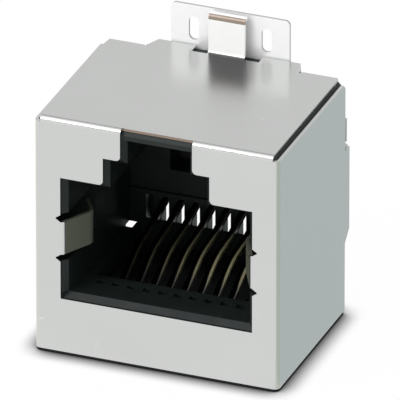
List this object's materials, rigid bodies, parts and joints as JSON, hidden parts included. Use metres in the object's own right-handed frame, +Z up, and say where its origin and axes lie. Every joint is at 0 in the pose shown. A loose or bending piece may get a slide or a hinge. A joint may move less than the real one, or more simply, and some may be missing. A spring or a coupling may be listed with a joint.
{
  "type": "board jack",
  "caption": "Shielded modular board jack with a stepped plug mouth, latch slot on top, side springs, a row of sprung contacts and an upright slotted rear shield.",
  "frame": {"origin": "centre of the mouth's plane at the level of the base the jack rests on", "axes": "+X to the right seen from the front, +Y from the mouth to the board side, +Z up to the latch slot"},
  "size_m": [0.016, 0.0152, 0.0188],
  "materials": {
    "shell_metal": "satin, tin-plated copper alloy with bare copper-brown cut edges",
    "plate_metal": "bright satin plated sheet",
    "housing_plastic": "black moulded thermoplastic",
    "carrier_plastic": "black moulded thermoplastic",
    "contact_metal": "gold-flashed copper alloy"
  },
  "bodies": {
    "root": {"shield_shell": "shell_metal", "rear_shield": "plate_metal", "housing": "housing_plastic", "contact_carrier": "carrier_plastic", "contact_1": "contact_metal", "contact_2": "contact_metal", "contact_3": "contact_metal", "contact_4": "contact_metal", "contact_5": "contact_metal", "contact_6": "contact_metal", "contact_7": "contact_metal", "contact_8": "contact_metal"}
  },
  "joints": []
}
